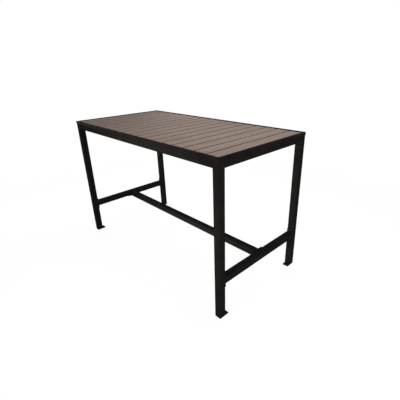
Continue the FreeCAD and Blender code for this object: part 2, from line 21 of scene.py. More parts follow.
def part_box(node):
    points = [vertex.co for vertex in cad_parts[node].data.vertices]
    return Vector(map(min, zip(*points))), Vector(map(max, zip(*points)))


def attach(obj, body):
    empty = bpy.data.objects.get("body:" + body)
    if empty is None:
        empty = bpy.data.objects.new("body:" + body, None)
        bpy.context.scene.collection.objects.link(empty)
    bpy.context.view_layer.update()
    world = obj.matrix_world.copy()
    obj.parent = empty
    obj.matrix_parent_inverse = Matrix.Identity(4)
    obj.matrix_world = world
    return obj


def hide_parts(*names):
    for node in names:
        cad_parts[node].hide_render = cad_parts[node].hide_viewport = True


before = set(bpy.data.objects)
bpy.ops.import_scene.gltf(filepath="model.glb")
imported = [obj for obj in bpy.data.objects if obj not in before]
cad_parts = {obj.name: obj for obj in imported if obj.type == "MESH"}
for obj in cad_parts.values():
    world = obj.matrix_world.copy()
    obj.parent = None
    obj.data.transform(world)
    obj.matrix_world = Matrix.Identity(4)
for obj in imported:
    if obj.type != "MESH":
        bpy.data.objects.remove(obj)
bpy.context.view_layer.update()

LOG = logging.getLogger("bar_table")
MM = 0.001
BODY = "root"
SEED = 20


# Meshes


def corners_of(node: str) -> tuple[np.ndarray, np.ndarray]:
    """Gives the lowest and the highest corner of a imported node."""
    low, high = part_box(node)
    return np.array(low), np.array(high)


def face_at(node: str, axis: int, way: float) -> float:
    """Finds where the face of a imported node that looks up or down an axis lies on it.

    Args:
        node: the node.
        axis: the axis by number.
        way: positive for the face that looks up the axis, negative for the other.

    Returns:
        The face's place on the axis.
    """
    low, high = corners_of(node)
    return high[axis] if way > 0 else low[axis]


def outward(points: np.ndarray, faces: list[tuple[int, ...]]) -> list[tuple[int, ...]]:
    """Turns the faces of a closed mesh so that they point outwards.

    The volume is the sum of the signed tetrahedra between the first point and each triangle of
    the faces. Where it is negative, every face is turned round.

    Args:
        points: the vertices, one row each.
        faces: vertex numbers of each face, all turned the same way.

    Returns:
        The faces, pointing outwards.
    """
    fans = np.array([(face[0], face[k], face[k + 1])
                     for face in faces for k in range(1, len(face) - 1)])
    first, second, third = (points[fans[:, k]] - points[0] for k in range(3))
    if np.einsum("ij,ij->", first, np.cross(second, third)) < 0:
        return [face[::-1] for face in faces]
    return faces


def skin(stations: int, around: int, closed: bool = False, capped: bool = False,
         start: int = 0) -> list[tuple[int, ...]]:
    """Lists the faces between rings of points that follow one another.

    Ring i holds the points from i * around, and point j joins point j + 1 of its own ring and of
    the next one.

    Args:
        stations: how many rings there are.
        around: how many points a ring has.
        closed: whether the last ring joins the first.
        capped: whether the first and the last ring are filled.
        start: number of the first point.

    Returns:
        The quads, and the two caps after them.
    """
    last = stations if closed else stations - 1
    ring, point = np.meshgrid(np.arange(last), np.arange(around), indexing="ij")
    following = (ring + 1) % stations
    beside = (point + 1) % around
    quads = np.stack([ring * around + point, ring * around + beside,
                      following * around + beside, following * around + point], axis=-1)
    faces = [tuple(quad) for quad in (quads.reshape(-1, 4) + start).tolist()]
    if capped:
        far = start + (stations - 1) * around
        faces += [tuple(range(start, start + around))[::-1], tuple(range(far, far + around))]
    return faces


def make_piece(name: str, points: np.ndarray, faces: list[tuple[int, ...]],
               material: bpy.types.Material, sharp_from: float = 35.0,
               marks: dict[str, np.ndarray] | None = None) -> bpy.types.Object:
    """Makes one piece of the table that rides on its body.

    Args:
        name: the piece's name.
        points: its vertices in metres, one row each.
        faces: vertex numbers of each face.
        material: its material.
        sharp_from: angle in degrees from which an edge is drawn sharp.
        marks: numbers for the material to read, one a vertex, by name.

    Returns:
        The piece.
    """
    mesh = bpy.data.meshes.new(name)
    mesh.from_pydata(points.tolist(), [], outward(points, faces))
    for mark, values in (marks or {}).items():
        attribute = mesh.attributes.new(mark, "FLOAT", "POINT")
        attribute.data.foreach_set("value", values.astype(np.float32).ravel())
    mesh.shade_smooth()
    mesh.set_sharp_from_angle(angle=math.radians(sharp_from))
    mesh.materials.append(material)
    piece = bpy.data.objects.new(name, mesh)
    bpy.context.scene.collection.objects.link(piece)
    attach(piece, BODY)
    return piece


def corner_arc(middle: tuple[float, float], radius: float, start: float,
               steps: int) -> np.ndarray:
    """Samples a quarter circle: the middle plus the radius times cosine and sine of the angle.

    Args:
        middle: the arc's centre.
        radius: its radius.
        start: its first angle in degrees, from which it turns a quarter left.
        steps: how many spans it has.

    Returns:
        The points, one row each.
    """
    angle = np.radians(start + np.linspace(0, 90, steps + 1))
    return np.stack([middle[0] + radius * np.cos(angle), middle[1] + radius * np.sin(angle)], -1)


def loop_normals(loop: np.ndarray) -> np.ndarray:
    """Finds the outward direction at each point of a closed loop drawn to the left.

    It is the chord from the point before to the point after, turned a quarter right.

    Args:
        loop: the points, one row each.

    Returns:
        Unit directions, one row each.
    """
    chord = np.roll(loop, -1, axis=0) - np.roll(loop, 1, axis=0)
    turned = np.stack([chord[:, 1], -chord[:, 0]], -1)
    return turned / np.linalg.norm(turned, axis=1, keepdims=True)


# Materials


def linear(code: str) -> tuple[float, float, float, float]:
    """Turns an sRGB hex colour into linear red, green, blue and an alpha of one.

    The sRGB curve is a line up to 0.04045, and above it a power of 2.4.

    Args:
        code: six hex digits.

    Returns:
        The four channels.
    """
    channels = [int(code[place:place + 2], 16) / 255 for place in (0, 2, 4)]
    bent = [value / 12.92 if value <= 0.04045 else ((value + 0.055) / 1.055) ** 2.4
            for value in channels]
    return (*bent, 1.0)


def add_node(tree: bpy.types.NodeTree, kind: str, inputs: dict[str | int, Any] | None = None,
             **settings: Any) -> bpy.types.Node:
    """Adds one node with its settings, values and links.

    Args:
        tree: the tree that takes it.
        kind: its type.
        inputs: a value, or the socket to link from, by the input's name or number.
        settings: its own properties by name.

    Returns:
        The node.
    """
    node = tree.nodes.new(kind)
    for name, value in settings.items():
        setattr(node, name, value)
    for name, value in (inputs or {}).items():
        if isinstance(value, bpy.types.NodeSocket):
            tree.links.new(value, node.inputs[name])
        else:
            node.inputs[name].default_value = value
    return node


@dataclass(frozen=True)
class Tone:
    """A colour, and the place that it has on a pattern from 0 to 1."""

    code: str
    place: float


@dataclass(frozen=True)
class Finish:
    """What every finish has: its name, the values of its surface and its relief."""

    name: str
    rough_low: float
    rough_high: float
    relief: float
    relief_strength: float
    ior: float = 1.5
    metallic: float = 0.0
    specular: float = 0.5

    def begin(self) -> tuple[bpy.types.Material, bpy.types.NodeTree, bpy.types.NodeSocket]:
        """Starts the material.

        Returns:
            The material, its empty tree and the socket of object coordinates.
        """
        material = bpy.data.materials.new(self.name)
        material.use_nodes = True
        tree = material.node_tree
        tree.nodes.clear()
        place = add_node(tree, "ShaderNodeTexCoord").outputs["Object"]
        return material, tree, place

    def end(self, tree: bpy.types.NodeTree, colour: bpy.types.NodeSocket,
            roughness: bpy.types.NodeSocket, height: bpy.types.NodeSocket) -> None:
        """Adds the relief, the shader and the output.

        Args:
            tree: the material's tree.
            colour: its colour.
            roughness: a pattern from 0 to 1, spread over the finish's range.
            height: a pattern from 0 to 1 that the relief follows.
        """
        bump = add_node(tree, "ShaderNodeBump", {
            "Height": height, "Strength": self.relief_strength, "Distance": self.relief})
        spread = add_node(tree, "ShaderNodeMapRange", {
            "Value": roughness, "To Min": self.rough_low, "To Max": self.rough_high})
        shader = add_node(tree, "ShaderNodeBsdfPrincipled", {
            "Base Color": colour, "Roughness": spread.outputs["Result"],
            "Normal": bump.outputs["Normal"], "IOR": self.ior, "Metallic": self.metallic,
            "Specular IOR Level": self.specular})
        add_node(tree, "ShaderNodeOutputMaterial", {"Surface": shader.outputs["BSDF"]})


@dataclass(frozen=True)
class PowderCoat(Finish):
    """Polyester powder coat, sprayed and baked on aluminium, in near black.

    To the eye it is dead matt with a warm tinge. A fine sandy skin breaks up its sheen, and the
    film clouds a little where it flowed before it set.
    """

    name: str = "powder_coated_aluminium"
    rough_low: float = 0.66
    rough_high: float = 0.80
    relief: float = 0.05 * MM
    relief_strength: float = 0.6
    specular: float = 0.008
    film: Tone = Tone("242220", 0.12)
    thin_film: Tone = Tone("2f2c2a", 0.42)
    grit: float = 1.6 * MM  # real grit is about 0.4 mm, drawn coarser so that it shows
    cloud: float = 70 * MM

    def make(self) -> bpy.types.Material:
        """Makes the material.

        Returns:
            The material.
        """
        material, tree, place = self.begin()
        sand = add_node(tree, "ShaderNodeTexNoise", {
            "Vector": place, "Scale": 1 / self.grit, "Detail": 2.0, "Roughness": 0.6})
        flow = add_node(tree, "ShaderNodeTexNoise", {
            "Vector": place, "Scale": 1 / self.cloud, "Detail": 3.0, "Roughness": 0.55})
        both = add_node(tree, "ShaderNodeMath", {
            0: sand.outputs["Fac"], 1: flow.outputs["Fac"]}, operation="MULTIPLY")
        shade = add_node(tree, "ShaderNodeValToRGB", {"Fac": both.outputs["Value"]})
        for stop, tone in zip(shade.color_ramp.elements, (self.film, self.thin_film)):
            stop.position = tone.place
            stop.color = linear(tone.code)
        self.end(tree, shade.outputs["Color"], flow.outputs["Fac"], sand.outputs["Fac"])
        return material


@dataclass(frozen=True)
class SyntheticBoard(Finish):
    """Foamed polystyrene board with an embossed, brushed wood grain, in greyed taupe.

    To the eye it is dry, matt wood: long soft streaks along the board, finer fibres in them,
    embossed grain lines that hold a darker tone, and flanks darkened by a painted shade.
    """

    name: str = "polystyrene_wood_board"
    rough_low: float = 0.62
    rough_high: float = 0.76
    relief: float = 0.06 * MM
    relief_strength: float = 0.5
    ior: float = 1.55
    specular: float = 0.12
    streak: Tone = Tone("958277", 0.30)
    body: Tone = Tone("a28f84", 0.50)
    pale: Tone = Tone("af9c8f", 0.70)
    pore: str = "6c5c52"
    # the flank colour is a painted shade, for the shade in the gaps between the boards and at
    # their ends
    painted_flank_shade: str = "3c312c"
    streak_width: float = 5 * MM
    streak_length: float = 340 * MM
    streak_detail: float = 4.0
    fibre_width: float = 1.2 * MM
    fibre_length: float = 45 * MM
    fibre_detail: float = 2.0
    fibre_share: float = 0.35
    pore_share: float = 0.55
    painted_shade_from: float = 0.25
    painted_shade_to: float = 0.9
    cloud: float = 160 * MM
    cloud_depth: float = 0.04

    def make(self) -> bpy.types.Material:
        """Makes the material, which reads the marks that the boards carry.

        Returns:
            The material.
        """
        material, tree, place = self.begin()
        mark = {name: add_node(tree, "ShaderNodeAttribute", attribute_name=name).outputs["Fac"]
                for name in ("grain_shift", "board_tone", "groove", "painted_flank_shade")}
        shift = add_node(tree, "ShaderNodeCombineXYZ", {"X": mark["grain_shift"],
                                                        "Y": mark["grain_shift"]})
        own = add_node(tree, "ShaderNodeVectorMath", {0: place, 1: shift.outputs["Vector"]},
                       operation="ADD").outputs["Vector"]

        drawn_out = []
        for width, length, detail in (
                (self.streak_width, self.streak_length, self.streak_detail),
                (self.fibre_width, self.fibre_length, self.fibre_detail)):
            spread = add_node(tree, "ShaderNodeMapping", {
                "Vector": own, "Scale": (1 / width, 1 / length, 1 / width)})
            drawn_out.append(add_node(tree, "ShaderNodeTexNoise", {
                "Vector": spread.outputs["Vector"], "Scale": 1.0, "Detail": detail,
                "Roughness": 0.55}).outputs["Fac"])
        streaks, fibres = drawn_out
        grain = add_node(tree, "ShaderNodeMix", {
            "Factor": self.fibre_share, "A": streaks, "B": fibres}).outputs["Result"]
        shade = add_node(tree, "ShaderNodeValToRGB", {"Fac": grain})
        shade.color_ramp.elements.new(self.body.place)
        for stop, tone in zip(shade.color_ramp.elements, (self.streak, self.body, self.pale)):
            stop.position = tone.place
            stop.color = linear(tone.code)

        held = add_node(tree, "ShaderNodeMath", {0: mark["groove"], 1: self.pore_share},
                        operation="MULTIPLY").outputs["Value"]
        # the flank mark blends in a painted shade on the boards' sides and ends, where the gaps
        # shade them
        turned = add_node(tree, "ShaderNodeMapRange", {
            "Value": mark["painted_flank_shade"], "From Min": self.painted_shade_from,
            "From Max": self.painted_shade_to}).outputs["Result"]
        colour = shade.outputs["Color"]
        for factor, tint in ((held, self.pore), (turned, self.painted_flank_shade)):
            # sockets 6 and 7 take the two colours of a mix, and output 2 gives the mixed one
            colour = add_node(tree, "ShaderNodeMix", {
                "Factor": factor, 6: colour, 7: linear(tint)}, data_type="RGBA").outputs[2]
        cloud = add_node(tree, "ShaderNodeTexNoise", {
            "Vector": own, "Scale": 1 / self.cloud, "Detail": 2.0}).outputs["Fac"]
        clouded = add_node(tree, "ShaderNodeMapRange", {
            "Value": cloud, "To Min": 1 - self.cloud_depth,
            "To Max": 1 + self.cloud_depth}).outputs["Result"]
        brightness = add_node(tree, "ShaderNodeMath", {0: clouded, 1: mark["board_tone"]},
                              operation="MULTIPLY").outputs["Value"]
        scaled = add_node(tree, "ShaderNodeVectorMath", {0: colour, "Scale": brightness},
                          operation="SCALE").outputs["Vector"]
        self.end(tree, scaled, fibres, fibres)
        return material


@dataclass(frozen=True)
class DarkSteel(Finish):
    """Blackened stainless steel of bolts, screws and rivet nuts.

    To the eye it is a dull dark metal whose sheen varies where the oxide is thin.
    """

    name: str = "blackened_stainless_steel"
    rough_low: float = 0.38
    rough_high: float = 0.55
    relief: float = 0.02 * MM
    relief_strength: float = 0.2
    metallic: float = 1.0
    oxide: Tone = Tone("3a3838", 0.35)
    thin_oxide: Tone = Tone("4d4a48", 0.65)
    patch: float = 3 * MM

    def make(self) -> bpy.types.Material:
        """Makes the material.

        Returns:
            The material.
        """
        material, tree, place = self.begin()
        patches = add_node(tree, "ShaderNodeTexNoise", {
            "Vector": place, "Scale": 1 / self.patch, "Detail": 3.0}).outputs["Fac"]
        shade = add_node(tree, "ShaderNodeValToRGB", {"Fac": patches})
        for stop, tone in zip(shade.color_ramp.elements, (self.oxide, self.thin_oxide)):
            stop.position = tone.place
            stop.color = linear(tone.code)
        self.end(tree, shade.outputs["Color"], patches, patches)
        return material


@dataclass(frozen=True)
class MillAluminium(Finish):
    """Extruded aluminium as it leaves the mill, of the keys inside the mitres.

    To the eye it is a pale grey metal with fine die lines.
    """

    name: str = "mill_finish_aluminium"
    rough_low: float = 0.3
    rough_high: float = 0.45
    relief: float = 0.02 * MM
    relief_strength: float = 0.3
    metallic: float = 1.0
    die_line: Tone = Tone("c4c5c7", 0.3)
    metal: Tone = Tone("d9dadb", 0.7)
    line_width: float = 0.7 * MM

    def make(self) -> bpy.types.Material:
        """Makes the material.

        Returns:
            The material.
        """
        material, tree, place = self.begin()
        drawn_out = add_node(tree, "ShaderNodeMapping", {
            "Vector": place, "Scale": (1.0, 1.0, 1 / self.line_width)})
        lines = add_node(tree, "ShaderNodeTexNoise", {
            "Vector": drawn_out.outputs["Vector"], "Scale": 1.0, "Detail": 2.0}).outputs["Fac"]
        shade = add_node(tree, "ShaderNodeValToRGB", {"Fac": lines})
        for stop, tone in zip(shade.color_ramp.elements, (self.die_line, self.metal)):
            stop.position = tone.place
            stop.color = linear(tone.code)
        self.end(tree, shade.outputs["Color"], lines, lines)
        return material


# Parts of the table


class Side(Enum):
    """A side of the table, with its quarter turns from the front one."""

    FRONT = 0
    RIGHT = 1
    BACK = 2
    LEFT = 3

    @property
    def label(self) -> str:
        """The side's name as the nodes have it."""
        return self.name.lower()

    def turn(self, points: np.ndarray) -> np.ndarray:
        """Turns points that are drawn for the front side, quarter by quarter to the left."""
        quarter = np.array([[0.0, 1.0, 0.0], [-1.0, 0.0, 0.0], [0.0, 0.0, 1.0]])
        return points @ np.linalg.matrix_power(quarter, self.value)


def dress(material: bpy.types.Material, *names: str) -> None:
    """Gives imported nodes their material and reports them.

    Args:
        material: the material.
        names: the nodes.
    """
    for name in names:
        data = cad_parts[name].data
        data.materials.clear()
        data.materials.append(material)
        LOG.info("dressed %s in %s", name, material.name)


@dataclass
class SlatRow:
    """Boards across the table, with eased arrises and an embossed grain on top.

    A pair of values is the range that a random one is drawn from.
    """

    material: bpy.types.Material
    count: int = 17
    arris: float = 2.2 * MM
    end_arris: float = 1.5 * MM
    arc_steps: int = 5
    end_steps: int = 3
    under_spans: int = 6
    column: float = 0.9 * MM
    station: float = 15 * MM
    groove_spacing: float = 3.4 * MM
    groove_width: tuple[float, float] = (0.9 * MM, 2.0 * MM)
    groove_depth: float = 0.16 * MM
    depth_share: tuple[float, float] = (0.25, 1.0)
    sway: tuple[float, float] = (0.4 * MM, 2.2 * MM)
    sway_length: tuple[float, float] = (0.5, 1.4)
    fade_length: tuple[float, float] = (0.15, 0.6)
    smooth_border: float = 4 * MM
    tone_spread: float = 0.02
    shift_reach: float = 9.0

    def relief(self, across: np.ndarray, along: np.ndarray,
               rng: np.random.Generator) -> np.ndarray:
        """Works out the depth of the embossed grain below the board's top.

        Each groove is a bell across the board: its depth times e to the minus square of the
        distance from its middle over its width. The middle wanders on a slow sine along the
        board and the depth swells and fades on another. The depths of all grooves are added,
        and a cosine step takes them to nothing at both arrises.

        Args:
            across: places across the board from its middle, in metres.
            along: places along it.
            rng: the source of the grooves' random values.

        Returns:
            Depths, one row for each place along and one column for each place across.
        """
        half = across.max()
        number = int(2 * half / self.groove_spacing)
        middle = rng.uniform(-half, half, number)[:, None]
        width = rng.uniform(*self.groove_width, number)[:, None, None]
        depth = rng.uniform(*self.depth_share, number)[:, None] * self.groove_depth
        sway = rng.uniform(*self.sway, number)[:, None]
        sway_length = rng.uniform(*self.sway_length, number)[:, None]
        fade_length = rng.uniform(*self.fade_length, number)[:, None]
        phase = rng.uniform(0, 2 * math.pi, (2, number, 1))
        path = middle + sway * np.sin(2 * math.pi * along / sway_length + phase[0])
        swell = depth * (0.5 + 0.5 * np.sin(2 * math.pi * along / fade_length + phase[1]))
        bells = np.exp(-((across - path[:, :, None]) / width) ** 2)
        inside = np.clip((half - np.abs(across)) / self.smooth_border, 0, 1)
        return (swell[:, :, None] * bells).sum(0) * (0.5 - 0.5 * np.cos(math.pi * inside))

    def section(self, edge: float, tall: float) -> tuple[np.ndarray, slice]:
        """Draws the outline of a board's cross-section.

        It runs left to right along the underside and back along the top, with a quarter circle
        at each arris.

        Args:
            edge: half the board's width, less the arris.
            tall: its thickness.

        Returns:
            The points, one row each, and which of them are the top's.
        """
        under = np.linspace(-edge, edge, self.under_spans + 1)[1:-1]
        over = np.linspace(edge, -edge, int(2 * edge / self.column) + 1)
        rising = [np.stack([under, np.zeros_like(under)], -1),
                  corner_arc((edge, self.arris), self.arris, -90, self.arc_steps),
                  corner_arc((edge, tall - self.arris), self.arris, 0, self.arc_steps)[:-1]]
        falling = [corner_arc((-edge, tall - self.arris), self.arris, 90, self.arc_steps)[1:],
                   corner_arc((-edge, self.arris), self.arris, 180, self.arc_steps)]
        first = sum(len(part) for part in rising)
        top = np.stack([over, np.full_like(over, tall)], -1)
        return np.concatenate([*rising, top, *falling]), slice(first, first + len(top))

    def stations(self, front: float, back: float) -> tuple[np.ndarray, np.ndarray]:
        """Places the rings of a board along it, and draws them in towards its ends.

        There they follow a quarter turn of the end arris: they stand off the end by its radius
        times one minus the cosine, and are drawn in by its radius times one minus the sine.

        Args:
            front: where the board starts on Y.
            back: where it ends.

        Returns:
            The rings' places, and how far each is drawn in.
        """
        turn = np.linspace(0, math.pi / 2, self.end_steps + 1)[:-1]
        off = self.end_arris * (1 - np.cos(turn))
        drawn = self.end_arris * (1 - np.sin(turn))
        inner = np.linspace(front + self.end_arris, back - self.end_arris,
                            int((back - front) / self.station) + 1)
        return (np.concatenate([front + off, inner, (back - off)[::-1]]),
                np.concatenate([drawn, np.zeros_like(inner), drawn[::-1]]))

    def board(self, number: int, rng: np.random.Generator) -> bpy.types.Object:
        """Builds one board in its node's box.

        The section is carried along Y. The top's points go down by the relief, and each ring's
        points go in against the section's outward directions as far as the ring is drawn in.

        Args:
            number: the board's number from the right.
            rng: the source of its random values.

        Returns:
            The board.
        """
        name = f"slat_{number:02d}"
        low, high = corners_of(name)
        edge = (high[0] - low[0]) / 2 - self.arris
        loop, top = self.section(edge, high[2] - low[2])
        along, drawn = self.stations(low[1], high[1])
        depth = self.relief(loop[top, 0], along, rng)
        rings = np.empty((len(along), len(loop), 3))
        rings[:, :, 0] = loop[:, 0]
        rings[:, :, 1] = along[:, None]
        rings[:, :, 2] = loop[:, 1]
        rings[:, top, 2] -= depth
        rings[:, :, (0, 2)] -= drawn[:, None, None] * loop_normals(loop)
        rings[:, :, 0] += (low[0] + high[0]) / 2
        rings[:, :, 2] += low[2]

        groove = np.zeros(rings.shape[:2])
        groove[:, top] = depth / self.groove_depth
        # the flank mark paints shade on each board's sides and rounded ends, where the gaps and
        # rails shade them
        painted_flank_shade = np.maximum(np.clip((np.abs(loop[:, 0]) - edge) / self.arris, 0, 1),
                           (drawn / self.end_arris)[:, None])
        whole = np.ones(rings.shape[:2])
        marks = {"groove": np.clip(groove, 0, 1), "painted_flank_shade": painted_flank_shade,
                 "grain_shift": whole * rng.uniform(0, self.shift_reach),
                 "board_tone": whole * (1 + rng.uniform(-1, 1) * self.tone_spread)}
        piece = make_piece(f"board_{number:02d}", rings.reshape(-1, 3),
                           skin(len(along), len(loop), capped=True), self.material,
                           marks=marks)
        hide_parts(name)
        return piece

    def build(self) -> list[bpy.types.Object]:
        """Builds every board, right to left."""
        rng = np.random.default_rng(SEED)
        return [self.board(number, rng) for number in range(1, self.count + 1)]


@dataclass
class Tray:
    """Four mitred edge rails: a hollow lip with softly rounded arrises, and a ledge."""

    coat: bpy.types.Material
    key_metal: bpy.types.Material
    lip_width: float = 12.7 * MM
    lip_wall: float = 2 * MM
    ledge_thickness: float = 3 * MM
    ledge_reach: float = 30 * MM
    outer_radius: float = 1.1 * MM
    inner_radius: float = 0.7 * MM
    foot_radius: float = 0.6 * MM
    arc_steps: int = 4
    mitre_draw: float = 0.12 * MM
    mitre_reach: float = 0.3 * MM

    def section(self, tall: float) -> np.ndarray:
        """Draws a rail's outline, as depth from the outer face and height from the underside.

        It runs left round the ledge, up the lip's inner face and back over its top.

        Args:
            tall: the lip's height.

        Returns:
            The points, one row each.
        """
        deep = self.lip_width + self.ledge_reach
        foot, inner, outer = self.foot_radius, self.inner_radius, self.outer_radius
        return np.concatenate([
            corner_arc((foot, foot), foot, 180, self.arc_steps),
            corner_arc((deep - foot, foot), foot, -90, self.arc_steps),
            corner_arc((deep - foot, self.ledge_thickness - foot), foot, 0, self.arc_steps),
            [(self.lip_width, self.ledge_thickness)],
            corner_arc((self.lip_width - inner, tall - inner), inner, 0, self.arc_steps),
            corner_arc((outer, tall - outer), outer, 90, self.arc_steps)])

    def hollow(self, tall: float) -> np.ndarray:
        """Draws the outline of the room inside the lip, as the section is drawn."""
        low, far, high = self.lip_wall, self.lip_width - self.lip_wall, tall - self.lip_wall
        return np.array([(low, low), (far, low), (far, high), (low, high)])

    def mitre(self, outline: np.ndarray, room: np.ndarray) -> np.ndarray:
        """Cuts a rail's end face into triangles round the hollow.

        A triangle whose cross product is negative runs right and is turned, so that all run
        left.

        Args:
            outline: the end's outline.
            room: the outline of the room inside it.

        Returns:
            The triangles, whose corners count along the outline and then back round the room.
        """
        loops = (outline, room[::-1])
        flat = np.array(tessellate_polygon([[Vector((*spot, 0)) for spot in loop]
                                            for loop in loops]))
        spots = np.concatenate(loops)
        (ax, ay), (bx, by), (cx, cy) = (spots[flat[:, k]].T for k in range(3))
        rightward = (bx - ax) * (cy - ay) < (by - ay) * (cx - ax)
        flat[rightward] = flat[rightward, ::-1]
        return flat

    def rail(self, side: Side) -> bpy.types.Object:
        """Builds one rail in its node's box.

        Its section is carried along the side. A point stops at half the side's length less its
        depth, which makes the mitre, and the last ring is drawn in a little, so that a hairline
        shows where two rails meet. The mitred face is turned round at the first end.

        Args:
            side: the side of the table.

        Returns:
            The rail.
        """
        name = f"edge_rail_{side.label}"
        low, high = corners_of(name)
        axis = 1 if side in (Side.FRONT, Side.BACK) else 0
        far = max(-low[axis], high[axis])
        half = (high[1 - axis] - low[1 - axis]) / 2
        tall = high[2] - low[2]
        outline, room = self.section(tall), self.hollow(tall)
        drawn = outline - loop_normals(outline) * self.mitre_draw

        def ring(loop: np.ndarray, short: float, end: int) -> np.ndarray:
            """Lays a loop at one end, short of its mitre by a length."""
            place = end * (half - loop[:, 0] - short)
            return np.stack([place, loop[:, 0] - far, loop[:, 1] + low[2]], -1)

        outer = [ring(drawn, 0, -1), ring(outline, self.mitre_reach, -1),
                 ring(outline, self.mitre_reach, 1), ring(drawn, 0, 1)]
        inner = [ring(room, 0, -1), ring(room, 0, 1)]
        points = side.turn(np.concatenate(outer + inner))
        around, inside = len(outline), len(outer) * len(outline)
        faces = skin(len(outer), around)
        faces += [quad[::-1] for quad in skin(len(inner), len(room), start=inside)]
        flat = self.mitre(drawn, room)
        first = np.concatenate([np.arange(around), inside + np.arange(len(room))[::-1]])
        last = first + np.where(first < inside, (len(outer) - 1) * around, len(room))
        faces += [tuple(corners) for corners in (*first[flat[:, ::-1]].tolist(),
                                                 *last[flat].tolist())]
        piece = make_piece(f"rail_{side.label}", points, faces, self.coat)
        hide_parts(name)
        return piece

    def build(self) -> list[bpy.types.Object]:
        """Builds the rails and dresses the keys in their corners."""
        dress(self.key_metal, "corner_keys")
        return [self.rail(side) for side in Side]


